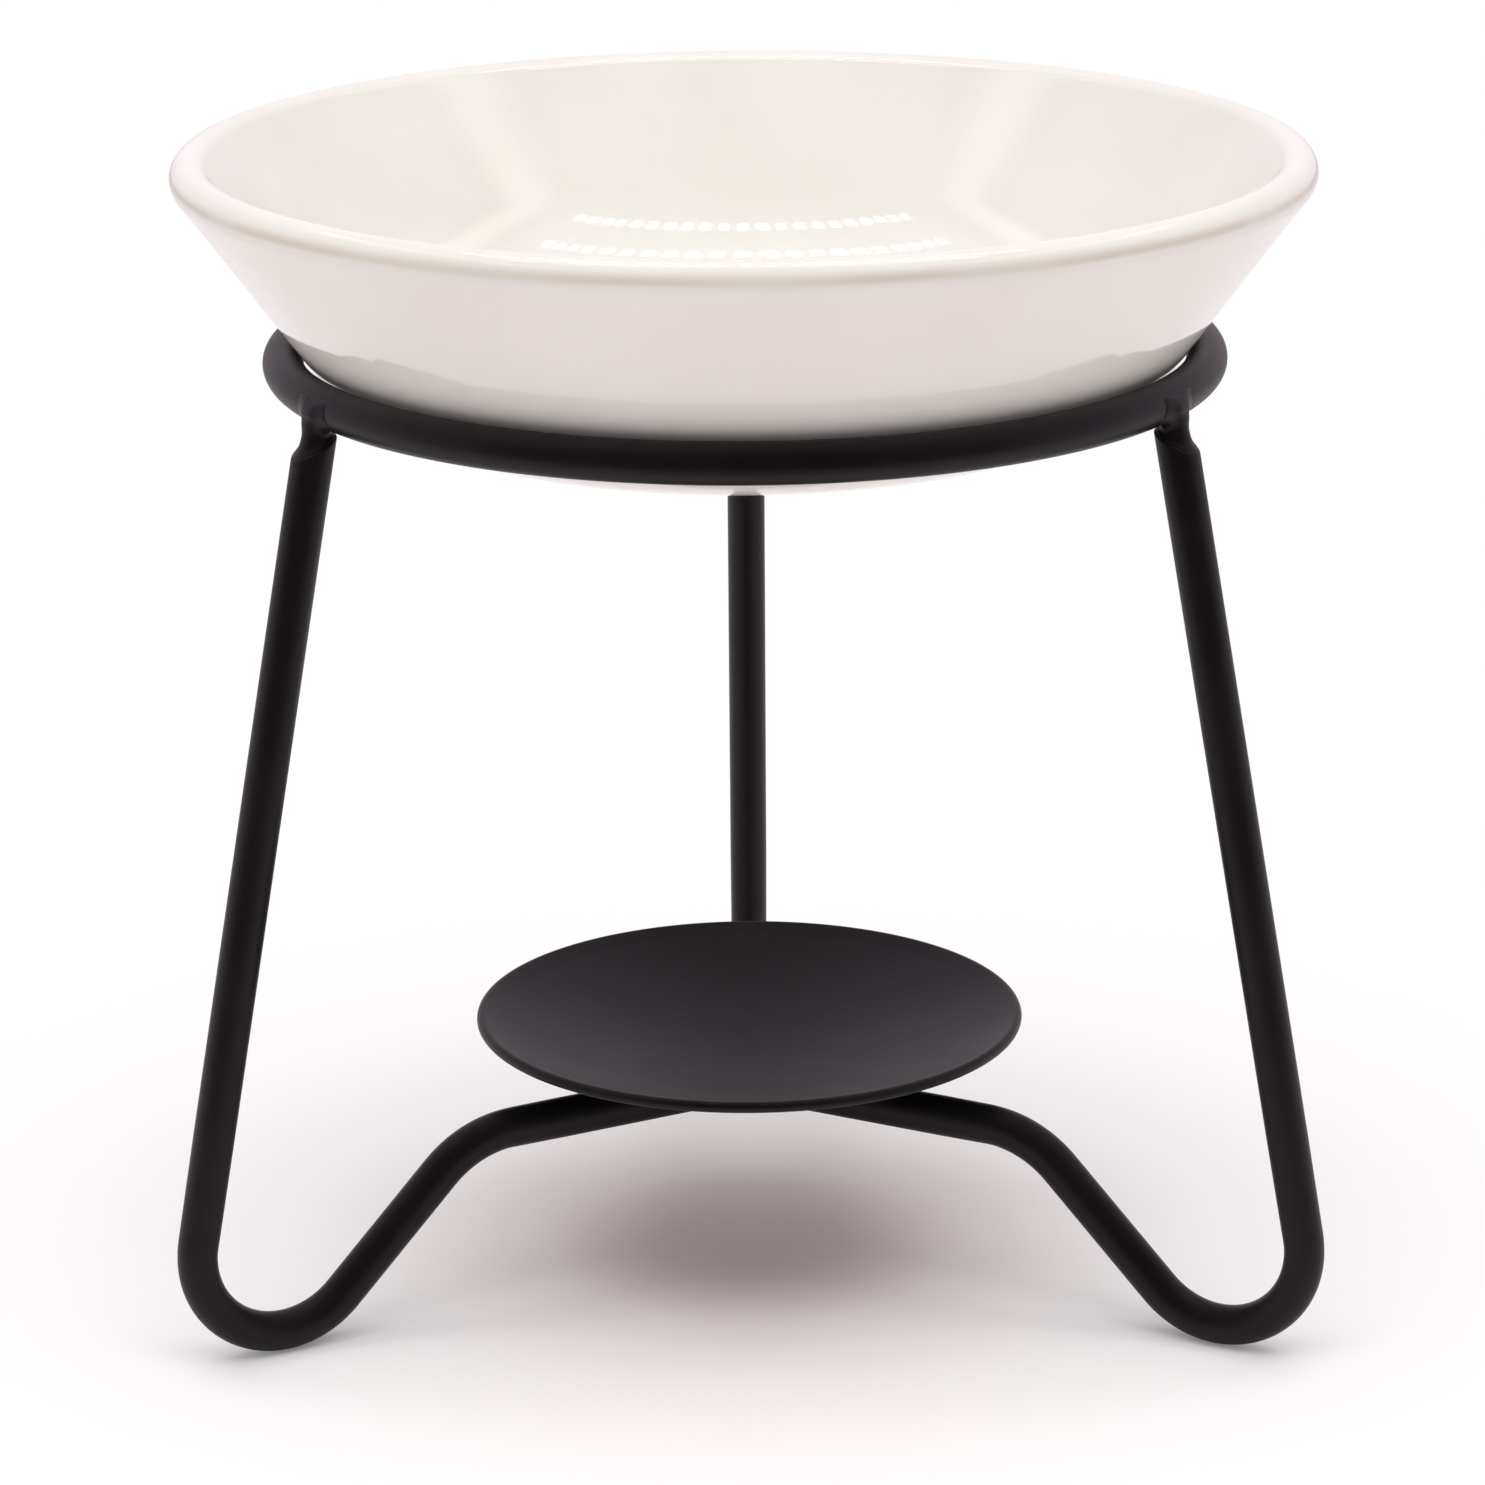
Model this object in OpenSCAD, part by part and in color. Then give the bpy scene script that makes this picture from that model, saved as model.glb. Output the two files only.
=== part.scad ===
// Essential oil burner: a glazed dish for water and oil rests in the ring of a bent-wire
// stand, over a shallow plate for a tealight that the stand's three legs carry.
// Millimetres, +Z up. The origin is on the stand's axis, on the surface it stands on.
// The front faces -Y, and the back leg points along +Y.

/* [Wire and ring] */
// Diameter of the steel wire that the stand is bent from
wire_d = 4; // [3.4:0.1:4.6]
// Diameter of the ring, at the middle of its wire
ring_d = 89.7; // [86:0.1:93]
// Height of the ring, at the middle of its wire
ring_z = 93.4; // [86:0.1:110]

/* [Legs] */
// Distance of the middle of each foot bend from the axis
foot_r = 52.5; // [50:0.1:57]
// Radius of the foot bend, at the middle of the wire
foot_bend_r = 9.1; // [8:0.1:10.5]
// Angle at which the wire rises from the foot towards the plate, in degrees
foot_rise = 43.5; // [40:0.5:47]
// Radius of the knee bend beside the plate, at the middle of the wire
knee_bend_r = 11.6; // [10:0.1:14]
// Angle at which the wire falls from the knee towards the axis, in degrees
run_droop = 0.5; // [0.25:0.25:2]
// How much the wire's radius draws down where it is bent
bend_draw = 0.05; // [0.04:0.01:0.08]
// How far a straight stretch runs on into a bend before the wire draws down
bend_lap = 0.2; // [0.1:0.05:0.3]
// Distance of each leg's inner end from the axis
leg_end_r = 4.5; // [4:0.25:6]
// How far the top end of a leg stands outside the middle of the ring's wire
leg_outset = 1.7; // [1.4:0.1:2.4]
// How far the top end of a leg stops below the middle of the ring's wire
leg_drop = 3.3; // [3:0.1:4]
// Slope of the cut across the top end of a leg, falling outwards, in degrees
leg_end_slope = 25; // [10:1:30]

/* [Candle plate] */
// Diameter of the plate
plate_d = 55; // [50:0.5:60]
// Thickness of the plate's sheet
plate_t = 1; // [0.8:0.1:1.4]
// How much the plate's rounded edge swells beyond its sheet, where the coat gathers
plate_edge_swell = 0.05; // [0.04:0.01:0.1]
// Depth of the plate's dish, from its rim to its middle
plate_dish = 4.6; // [3.4:0.1:5.4]
// Height of the top of the plate's rim
plate_rim_z = 25.6; // [23:0.1:28]
// Gap between the legs and the plate that the weld beads bridge
plate_gap = 0.1; // [0.05:0.05:0.2]

/* [Bowl] */
// Diameter of the bowl over its lip
bowl_d = 110.4; // [105:0.2:117]
// How far the bowl's foot hangs below the middle of the ring's wire
bowl_drop = 6.8; // [5.5:0.1:8]
// Slope of the bowl's flared wall, from upright, in degrees
bowl_flare = 36; // [33:0.5:39]
// Thickness of the bowl's wall, which ends in a full-round lip
bowl_wall = 3.6; // [3:0.1:4.4]
// How much the lip swells beyond the wall on either side
lip_swell = 0.08; // [0.05:0.01:0.2]
// Thickness of the bowl's floor over its foot
bowl_floor = 4.4; // [3.8:0.1:5]
// Radius of the round between the wall and the floor of the bowl's hollow
hollow_round_r = 24; // [20:0.5:26]
// How far below the ring's touch the bowl's straight wall gives way to its round bottom
round_stop = 0.35; // [0.2:0.05:1]
// How far that round is trimmed flush with the wall and the foot
round_trim = 0.02; // [0.01:0.01:0.05]
// Width of the bowl's unglazed foot ring
foot_ring_w = 5; // [3:0.5:8]
// Depth of the recess inside the foot ring
foot_recess = 0.8; // [0.4:0.1:1.2]
// Gap between the bowl and the ring that it rests in
seat_gap = 0.2; // [0.1:0.05:0.4]

/* [Weld beads] */
// Radius of the neck of weld between a leg and the ring
neck_r = 1.3; // [1:0.05:1.5]
// Height of the narrowest place of that neck above the leg's end
neck_h = 1.1; // [0.9:0.1:1.4]
// Radius of the hollow flank round that neck
flank_r = 1.4; // [1.2:0.1:1.8]
// Radius of the bead where the neck runs onto the ring
ring_bead_r = 1.5; // [1.4:0.05:1.8]
// Height of that bead's middle above the leg's end
ring_bead_h = 3; // [2.6:0.1:3.4]
// Radius of the beads beside a leg, under the plate
plate_bead_r = 1.2; // [1:0.05:1.4]
// How much the round ends of those beads swell beyond their radius
plate_bead_swell = 0.1; // [0.05:0.05:0.2]
// Share of the wire's radius by which those beads lie beside the wire's middle
plate_bead_aside = 0.85; // [0.75:0.05:0.95]
// Share of the wire's radius by which those beads lie above the wire's middle
plate_bead_above = 0.75; // [0.65:0.05:0.85]
// Distance of those beads' inner end from the axis
plate_bead_in = 6.5; // [6:0.25:8]
// Distance of those beads' outer end from the axis
plate_bead_out = 12; // [10:0.25:13]

/* [Hidden] */

$fn = 96;
coat = [0.11, 0.10, 0.115];
glaze = [0.93, 0.91, 0.88];

// Turn of each leg about the axis, counted from +X: a third of a turn apart
back_turn = 90;
left_turn = back_turn + 360 / 3;
right_turn = back_turn - 360 / 3;

wire_r = wire_d / 2;
ring_r = ring_d / 2;

// The plate: two spheres about one middle, and a full-round edge
plate_edge_r = plate_t / 2 + plate_edge_swell;
plate_mid_r = plate_d / 2 - plate_edge_r;
rim_mid_z = plate_rim_z - plate_edge_r;
dish_mid_r = (plate_mid_r * plate_mid_r + plate_dish * plate_dish) / (2 * plate_dish);
dish_z = rim_mid_z - plate_dish + dish_mid_r;
dish_in_r = dish_mid_r - plate_t / 2;
dish_out_r = dish_mid_r + plate_t / 2;
rim_angle = asin(plate_mid_r / dish_mid_r);

// A leg lies in one plane, as points of distance from the axis and height.
// Its upright touches the foot bend and runs up to its top end beside the ring.
foot_z = foot_bend_r + wire_r;
leg_top = [ring_r + leg_outset, ring_z - leg_drop];
foot_mid = [foot_r, foot_z];
top_to_foot = foot_mid - leg_top;
leg_lean = atan2(top_to_foot[0], -top_to_foot[1]) + asin(foot_bend_r / norm(top_to_foot));
upright_foot = foot_mid + foot_bend_r * [cos(leg_lean), sin(leg_lean)];
leg_spare = 2 * wire_d;
upright_end = leg_top + leg_spare * [-sin(leg_lean), cos(leg_lean)];

// The wire rises from the foot to the knee, and then runs in under the plate,
// square to a radius of the dish, so that it passes plate_gap below it.
rise_dir = [-cos(foot_rise), sin(foot_rise)];
rise_up = [sin(foot_rise), cos(foot_rise)];
run_dir = [-cos(run_droop), -sin(run_droop)];
run_up = [-sin(run_droop), cos(run_droop)];
rise_foot = foot_mid - foot_bend_r * rise_up;
knee_shift = rise_foot + knee_bend_r * (run_up - rise_up);
run_to_dish = dish_out_r + plate_gap + wire_r;
rise_len = ([0, dish_z] * run_up - knee_shift * run_up - run_to_dish) / sin(foot_rise + run_droop);
rise_knee = rise_foot + rise_len * rise_dir;
knee_mid = rise_knee - knee_bend_r * rise_up;
run_knee = knee_mid + knee_bend_r * run_up;
run_end = run_knee + run_dir * ((run_knee[0] - leg_end_r) / cos(run_droop) - bend_lap);

// The weld beads under the plate lie in the corner between a leg's flank and the plate
plate_bead_end_r = plate_bead_r + plate_bead_swell;
plate_bead_side = plate_bead_aside * wire_r;
plate_bead_up = plate_bead_above * wire_r;
function on_run(r) = run_knee + run_dir * (run_knee[0] - r) / cos(run_droop) + plate_bead_up * run_up;

// The bowl's outer wall passes seat_gap from the ring, and its lip ends at bowl_d
wall_half = bowl_wall / 2;
lip_r = wall_half + lip_swell;
wall_dir = [sin(bowl_flare), cos(bowl_flare)];
wall_out = [cos(bowl_flare), -sin(bowl_flare)];
seat = [ring_r, ring_z] - (wire_r + seat_gap) * wall_out;
lip_mid_r = bowl_d / 2 - lip_r;
lip_mid = seat - wall_half * wall_out
    + wall_dir * (lip_mid_r + wall_half * wall_out[0] - seat[0]) / wall_dir[0];
foot_face_z = ring_z - bowl_drop;
floor_z = foot_face_z + bowl_floor;
round_reach = tan((90 - bowl_flare) / 2);
bowl_round_r = (seat[1] - round_stop - foot_face_z) / (round_reach * wall_dir[1]);
lip_out = lip_mid + wall_half * wall_out;
lip_in = lip_mid - wall_half * wall_out;
wall_corner_r = lip_out[0] - tan(bowl_flare) * (lip_out[1] - foot_face_z);
floor_corner_r = lip_in[0] - tan(bowl_flare) * (lip_in[1] - floor_z);
foot_face_r = wall_corner_r - bowl_round_r * round_reach;

// A straight stretch of wire between two points of a leg's plane
module wire_straight(from, to) {
    along = to - from;
    translate([from[0], 0, from[1]])
        rotate([0, atan2(along[0], along[1]), 0])
            translate([0, 0, -bend_lap])
                cylinder(r = wire_r, h = norm(along) + 2 * bend_lap);
}

// A bend of wire in a leg's plane, from one angle to another about its middle
module wire_bend(middle, radius, from_angle, to_angle) {
    translate([middle[0], 0, middle[1]])
        rotate([90, 0, 0])
            rotate([0, 0, from_angle])
                rotate_extrude(angle = to_angle - from_angle)
                    translate([radius, 0])
                        circle(r = wire_r - bend_draw);
}

// The space above the sloping cut across a leg's top end
module above_leg_end() {
    translate([leg_top[0], 0, leg_top[1]])
        rotate([0, leg_end_slope, 0])
            translate([-leg_spare, -leg_spare, 0])
                cube([2 * leg_spare, 2 * leg_spare, 2 * leg_spare]);
}

// One leg: upright, foot bend, rise, knee bend and the run under the plate
module leg(turn) {
    color(coat)
        rotate([0, 0, turn]) {
            difference() {
                wire_straight(upright_foot, upright_end);
                above_leg_end();
            }
            wire_bend(foot_mid, foot_bend_r, -90 - foot_rise, leg_lean);
            wire_straight(rise_foot, rise_knee);
            wire_bend(knee_mid, knee_bend_r, 90 - foot_rise, 90 + run_droop);
            wire_straight(run_knee, run_end);
        }
}

// Half section of the weld between a leg's end and the ring: a waisted neck under a bead
module ring_weld_section() {
    difference() {
        union() {
            translate([0, -leg_spare])
                square([wire_r, leg_spare + neck_h]);
            square([ring_bead_r, ring_bead_h]);
            translate([0, ring_bead_h])
                intersection() {
                    circle(r = ring_bead_r);
                    square(ring_bead_r);
                }
        }
        translate([neck_r + flank_r, neck_h])
            circle(r = flank_r);
    }
}

// The weld that joins one leg to the ring
module ring_weld(turn) {
    color(coat)
        difference() {
            rotate([0, 0, turn])
                intersection() {
                    translate([leg_top[0], 0, leg_top[1]])
                        rotate([0, -leg_lean, 0])
                            rotate_extrude()
                                ring_weld_section();
                    above_leg_end();
                }
            ring_wire();
        }
}

// The pair of weld beads that join one leg to the underside of the plate
module plate_weld(turn) {
    color(coat)
        rotate([0, 0, turn])
            difference() {
                for (side = [-1, 1])
                    translate([0, side * plate_bead_side, 0])
                        plate_bead();
                wire_straight(run_knee, run_end);
                above_plate_face();
            }
}

// The space above the plate's underside, as far out as its rim
module above_plate_face() {
    rotate_extrude()
        intersection() {
            translate([0, dish_z])
                circle(r = dish_out_r, $fn = 720);
            translate([0, dish_z - dish_out_r])
                square([plate_mid_r, plate_dish]);
        }
}

// One bead: a straight stretch with a rounded start and stop
module plate_bead() {
    from = on_run(plate_bead_out);
    to = on_run(plate_bead_in);
    along = to - from;
    translate([from[0], 0, from[1]])
        rotate([0, atan2(along[0], along[1]), 0]) {
            cylinder(r = plate_bead_r, h = norm(along));
            sphere(r = plate_bead_end_r);
            translate([0, 0, norm(along)])
                sphere(r = plate_bead_end_r);
        }
}

// The ring's wire, a full turn
module ring_wire() {
    rotate_extrude($fn = 240)
        translate([ring_r, ring_z])
            circle(r = wire_r);
}

// The plate's sheet: a dished section with a rounded edge, turned about the axis
module plate_dished() {
    reach = 2 * dish_out_r;
    rotate_extrude()
        translate([0, dish_z]) {
            intersection() {
                difference() {
                    circle(r = dish_out_r, $fn = 720);
                    circle(r = dish_in_r, $fn = 720);
                }
                polygon([[0, 0], [0, -reach], [reach * sin(rim_angle), -reach * cos(rim_angle)]]);
            }
            translate(dish_mid_r * [sin(rim_angle), -cos(rim_angle)])
                circle(r = plate_edge_r);
        }
}

// Half section of a cup: flat bottom, round corner and flared side up to its top points
module cup_section(bottom_z, corner_r, round_r, tops) {
    reach = round_r * round_reach;
    on_bottom = [corner_r - reach, bottom_z];
    on_side = [corner_r, bottom_z] + reach * wall_dir;
    middle = on_bottom + [0, round_r];
    last = tops[len(tops) - 1];
    polygon(concat([[0, bottom_z], on_bottom, middle, on_side], tops, [[0, last[1]]]));
    intersection() {
        translate(middle)
            circle(r = round_r + round_trim, $fn = 360);
        polygon([middle, on_bottom, [corner_r, bottom_z], on_side]);
    }
}

// The bowl: flared wall, rounded bottom, full-round lip and a foot ring round a recess
module oil_bowl() {
    past_lip = lip_in + bowl_wall * wall_dir;
    color(glaze)
        rotate_extrude($fn = 180) {
            difference() {
                cup_section(foot_face_z, wall_corner_r, bowl_round_r, [lip_out, lip_in]);
                cup_section(floor_z, floor_corner_r, hollow_round_r, [past_lip]);
                translate([0, foot_face_z - foot_recess])
                    square([foot_face_r - foot_ring_w, 2 * foot_recess]);
            }
            translate(lip_mid)
                circle(r = lip_r);
        }
}

module bowl_ring() {
    color(coat)
        ring_wire();
}

module candle_plate() {
    color(coat)
        plate_dished();
}

oil_bowl();
bowl_ring();
candle_plate();
leg(left_turn);  // leg_left
leg(right_turn);  // leg_right
leg(back_turn);  // leg_back
ring_weld(left_turn);  // ring_weld_left
ring_weld(right_turn);  // ring_weld_right
ring_weld(back_turn);  // ring_weld_back
plate_weld(left_turn);  // plate_weld_left
plate_weld(right_turn);  // plate_weld_right
plate_weld(back_turn);  // plate_weld_back
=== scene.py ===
# %% [markdown]
# # An oil burner, dressed round its solids
#
# The burner is two things: a white glazed bowl that lies loose in a ring, and a black stand of
# bent wire that carries the ring and a small dished plate for a tealight. The solids of both are
# already there. This lesson lays a fine surface over each of them, gives them their two finishes,
# and sets up a floor, light and a camera.
#
# First the solids are opened. No surface that follows may stand outside it.

import bpy
import numpy as np
from mathutils import Matrix


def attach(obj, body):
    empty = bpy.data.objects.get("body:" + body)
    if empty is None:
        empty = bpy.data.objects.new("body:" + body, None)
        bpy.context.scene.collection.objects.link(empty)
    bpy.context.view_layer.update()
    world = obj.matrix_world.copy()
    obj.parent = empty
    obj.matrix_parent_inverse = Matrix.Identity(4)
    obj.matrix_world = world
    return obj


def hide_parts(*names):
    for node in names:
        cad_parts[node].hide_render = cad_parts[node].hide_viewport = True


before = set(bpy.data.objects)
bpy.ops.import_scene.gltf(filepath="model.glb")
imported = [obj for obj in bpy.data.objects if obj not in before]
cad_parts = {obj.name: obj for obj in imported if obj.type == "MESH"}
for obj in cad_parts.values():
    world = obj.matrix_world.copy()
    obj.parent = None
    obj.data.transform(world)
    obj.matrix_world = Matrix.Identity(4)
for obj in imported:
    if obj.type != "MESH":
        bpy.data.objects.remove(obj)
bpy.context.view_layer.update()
MM = 0.001

# %% [markdown]
# ## The camera
#
# The burner is seen from in front, from a little above the rim of the bowl, through a long lens. A
# camera can be turned by hand until the view looks right, but here the place, the turn and the
# lens were worked out from the feet, the ring and the rims of the bowl and plate. Writing the turn
# as three angles keeps it readable: yaw swings the view sideways, pitch tips it down, and roll
# leans it.

# %% Set up the camera
EYE = np.array([0.19, -520.0, 212.14])
YAW, PITCH, ROLL = np.radians([-0.076, -16.956, -0.4])
LENS_PIXELS, IMAGE_PIXELS = 5461.0, 1485
SENSOR_WIDTH = 36.0

forward = np.array([np.sin(YAW) * np.cos(PITCH), np.cos(YAW) * np.cos(PITCH), np.sin(PITCH)])
level = np.array([np.cos(YAW), -np.sin(YAW), 0.0])
upward = np.cross(level, forward)
across = level * np.cos(ROLL) + upward * np.sin(ROLL)
upright = upward * np.cos(ROLL) - level * np.sin(ROLL)

camera = bpy.data.objects.new("front_camera", bpy.data.cameras.new("front_camera"))
camera.data.sensor_width = SENSOR_WIDTH
camera.data.lens = SENSOR_WIDTH * LENS_PIXELS / IMAGE_PIXELS
camera.data.clip_start = 0.01
camera.matrix_world = Matrix(np.column_stack([across, upright, -forward]).tolist()).to_4x4()
camera.location = EYE * MM
bpy.context.scene.collection.objects.link(camera)
bpy.context.scene.camera = camera
print("lens:", round(camera.data.lens, 1), "mm")

# %% [markdown]
# ## From rings of points to a skin
#
# Every piece of this burner is round in one direction: a bowl and a plate are turned on a wheel or
# a lathe, and wire is a circle carried along a path. So one helper serves them all. It takes a
# stack of rings, each with the same number of points, and joins neighbours with four-sided faces.
# Blender could spin or bevel a curve instead, but working out the points as one array shows the
# shape's formula.

# %% Join rings into a skin
def skin_rings(rings, first=None, last=None):
    """rings[i, j] is point j of ring i. Square (i, j) joins points j and j + 1 of rings i and
    i + 1, and j wraps round. A first and a last point close the ends with fans; without them ring i
    wraps round too."""
    count, around = rings.shape[:2]
    points = rings.reshape(-1, 3)
    start = np.arange(count - 1 if first is not None else count)[:, None] * around
    beyond = (start + around) % len(points)
    j = np.arange(around)
    k = (j + 1) % around
    squares = np.stack([start + j, start + k, beyond + k, beyond + j], axis=-1).reshape(-1, 4)
    if first is None:
        return points, squares, np.empty((0, 3), dtype=int)
    rim, ends = len(points) - around, np.full(around, len(points))
    fans = np.vstack([np.column_stack([k, j, ends]),
                      np.column_stack([rim + j, rim + k, ends + 1])])
    return np.vstack([points, first, last]), squares, fans


dressed = {"glaze": [], "coat": []}


def make_piece(name, skin, body, slot, *nodes):
    """Put a skin, in millimetres, into a smooth mesh that rides on a body and stands for its
    solids."""
    points, squares, fans = skin
    mesh = bpy.data.meshes.new(name)
    mesh.from_pydata((points * MM).tolist(), [], squares.tolist() + fans.tolist())
    mesh.polygons.foreach_set("use_smooth", np.ones(len(mesh.polygons), dtype=bool))
    mesh.update()
    piece = bpy.data.objects.new(name, mesh)
    bpy.context.scene.collection.objects.link(piece)
    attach(piece, body)
    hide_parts(*nodes)
    dressed[slot].append(piece)
    print(name, "has", 2 * len(squares) + len(fans), "triangles, up to", points.max(0).round(2))


print("two finishes wait for their pieces:", list(dressed))

# %% [markdown]
# ## The bowl
#
# The bowl is a flared dish with a full-round lip, a rounded bottom and a flat foot round a shallow
# recess. A potter would trim such a dish on a wheel, so its whole shape is one outline that turns
# about the axis. The outline starts under the foot, climbs the outside, rolls over the lip and runs
# down the inside to the floor. Arcs meet the straight wall where both have the same direction, so
# light glides over the joins. The lip is a shade thicker than the wall, so a few points of the wall
# are left out beside it, and the wall swells into the lip there.

# %% Draw the bowl's outline
FLARE = 36.0
WALL_HALF, LIP_R = 1.8, 1.878
FOOT_Z, FLOOR_Z, RECESS_Z = 86.6, 91.0, 87.4
FOOT_R, RECESS_R, FLOOR_R, EDGE_R = 27.619, 22.619, 23.708, 0.35
LIP_MID = np.array([53.32, 111.863])
OUTER_ROUND, INNER_ROUND = 18.784, 24.0
WALL_POINTS, LEFT_OUT = 40, 6


def arc(middle, radius, start, stop, count):
    """Points at a radius from a middle, from one angle to another in degrees, counted from outwards
    to up."""
    angle = np.radians(np.linspace(start, stop, count))
    return np.array(middle) + radius * np.column_stack([np.cos(angle), np.sin(angle)])


def straight(start, stop, count):
    """Evenly spaced points from one point to another, without either end."""
    share = np.linspace(0, 1, count + 2)[1:-1, None]
    return np.array(start) * (1 - share) + np.array(stop) * share


wall_out = np.array([np.cos(np.radians(FLARE)), -np.sin(np.radians(FLARE))])
recess = np.vstack([arc([RECESS_R - EDGE_R, RECESS_Z - EDGE_R], EDGE_R, 90, 0, 8),
                    arc([RECESS_R + EDGE_R, FOOT_Z + EDGE_R], EDGE_R, 180, 270, 8)])
outer_round = arc([FOOT_R, FOOT_Z + OUTER_ROUND], OUTER_ROUND, -90, -FLARE, 40)
outer_wall = straight(outer_round[-1], LIP_MID + WALL_HALF * wall_out, WALL_POINTS)
lip = arc(LIP_MID, LIP_R, -FLARE, 180 - FLARE, 44)
inner_round = arc([FLOOR_R, FLOOR_Z + INNER_ROUND], INNER_ROUND, -FLARE, -90, 48)
inner_wall = straight(LIP_MID - WALL_HALF * wall_out, inner_round[0], WALL_POINTS)
bowl_outline = np.vstack([
    straight([0, RECESS_Z], recess[0], 8), recess,
    straight(recess[-1], outer_round[0], 4), outer_round, outer_wall[:-LEFT_OUT], lip,
    inner_wall[LEFT_OUT:], inner_round, straight(inner_round[-1], [0, FLOOR_Z], 12)])
print("outline of", len(bowl_outline), "points, up to", bowl_outline.max(0).round(2))

# %% [markdown]
# Turning the outline gives the bowl. No hand-glazed dish is perfectly round, so the turned radius
# is drawn in by up to a tenth of a millimetre, in slow waves round the rim. It is too little to
# measure with a ruler, yet it is what makes the shine along the lip swim a little.

# %% Turn the bowl
BOWL_AROUND, BOWL_WAVER = 288, 0.1


def turn_outline(outline, around, waver=0.0):
    """Point (i, j) is outline point i, turned about the axis to angle j. The radius shrinks by
    waver at most, by a sum of two cosines of the angle, with two and five waves in a turn."""
    angle = np.linspace(0, 2 * np.pi, around, endpoint=False)
    wave = (2 - np.cos(2 * angle + 0.7) - np.cos(5 * angle + 2.1)) / 4
    radius = outline[:, :1] - waver * wave * outline[:, :1] / outline[:, 0].max()
    height = np.broadcast_to(outline[:, 1:], radius.shape)
    return np.stack([radius * np.cos(angle), radius * np.sin(angle), height], axis=-1)


bowl_rings = turn_outline(bowl_outline, BOWL_AROUND, BOWL_WAVER)
bowl_skin = skin_rings(bowl_rings, [0, 0, RECESS_Z], [0, 0, FLOOR_Z])
make_piece("glazed_bowl", bowl_skin, "bowl", "glaze", "oil_bowl")

# %% [markdown]
# ## The ring
#
# The ring is a length of wire rolled round and welded shut, so it is a small circle carried round a
# large one. Blender has a torus of its own, but written out as two angles it shows the rule that
# the welds use later to find out how far they are from the wire.

# %% Roll the ring
RING_R, RING_Z, WIRE_R = 44.85, 93.4, 2.0
RING_TURNS, WIRE_AROUND = 360, 48


def ring_points(turns, around):
    """Point (i, j): angle i goes round the axis, and angle j round the wire, from its outer side
    first down and then back up."""
    turn = np.linspace(0, 2 * np.pi, turns, endpoint=False)[:, None]
    side = np.linspace(0, 2 * np.pi, around, endpoint=False)[None, :]
    radius = RING_R + WIRE_R * np.cos(side)
    height = RING_Z - WIRE_R * np.sin(side) + 0 * turn
    return np.stack([radius * np.cos(turn), radius * np.sin(turn), height], axis=-1)


ring_skin = skin_rings(ring_points(RING_TURNS, WIRE_AROUND))
make_piece("wire_ring", ring_skin, "stand", "coat", "bowl_ring")

# %% [markdown]
# ## The legs
#
# Each leg is one piece of wire: an upright that leans outwards on its way down, a foot bend, a
# short rise, a knee bend and a run in under the plate. A leg lies in one plane, so its middle line
# is drawn as distance from the axis and height, of straights and arcs that meet smoothly. A bender
# stretches wire a little in its bends, so the wire is a shade thinner there.

# %% Draw the middle line of a leg
LEAN, RISE, DROOP = 10.903, 43.5, 0.5
LEG_TOP = np.array([46.55, 90.1])
FOOT_MID, FOOT_BEND = np.array([52.5, 11.1]), 9.1
KNEE_MID, KNEE_BEND = np.array([27.292, 6.4845]), 11.6
RUN_END = np.array([4.5, 17.886])
LEG_POINTS = UPRIGHT, FOOT, RISING, KNEE, RUN = 30, 56, 10, 28, 16
BEND_DRAW, DRAW_BLEND = 0.055, 7

foot_bend = arc(FOOT_MID, FOOT_BEND, LEAN, -90 - RISE, FOOT)
knee_bend = arc(KNEE_MID, KNEE_BEND, 90 - RISE, 90 + DROOP, KNEE)
leg_line = np.vstack([straight(LEG_TOP, foot_bend[0], UPRIGHT), foot_bend,
                      straight(foot_bend[-1], knee_bend[0], RISING), knee_bend,
                      straight(knee_bend[-1], RUN_END, RUN)])
thinned = np.pad(np.repeat([0.0, 1.0, 1.0, 1.0, 0.0], LEG_POINTS), DRAW_BLEND // 2, "edge")
drawn = np.convolve(thinned, np.ones(DRAW_BLEND) / DRAW_BLEND, "valid")
leg_thickness = WIRE_R - BEND_DRAW * drawn
leg_length = np.linalg.norm(np.diff(leg_line, axis=0), axis=1).sum()
print("wire of a leg:", round(leg_length, 1), "mm long")

# %% [markdown]
# The ends need more care than the middle. The top end was cut on a slope that falls outwards, and
# the inner end square, both with their sharp edge lost under the paint. So at each end a few more
# rings are added that roll over the edge and shrink to a point, and the rings at the top slide
# along the wire by an amount that grows towards its inner side.

# %% Shape the cut ends
END_SLOPE = np.tan(np.radians(35.9))
CUT_EDGE, EDGE_RINGS = 0.42, 7


def roll_end(count):
    """How far the rings of a cut end lie from the cut, and how far in from the wire's side: a
    quarter circle."""
    quarter = np.linspace(0, np.pi / 2, count)
    return CUT_EDGE * (1 - np.sin(quarter)), CUT_EDGE * (1 - np.cos(quarter))


def carry_wire(line, ahead, thickness, slope):
    """Point (i, j) is line point i plus the thickness, at angle j, along the line's two normals.
    slope slides each point along the line by its own distance from it, towards the inner side."""
    inner = np.column_stack([ahead[:, 1], -ahead[:, 0]])
    angle = np.linspace(0, 2 * np.pi, WIRE_AROUND, endpoint=False)
    reach, aside = thickness[:, None] * np.cos(angle), thickness[:, None] * np.sin(angle)
    flat = (line[:, None, :] + reach[..., None] * inner[:, None, :]
            - (slope[:, None] * reach)[..., None] * ahead[:, None, :])
    return np.stack([flat[..., 0], aside, flat[..., 1]], axis=-1)


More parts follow.
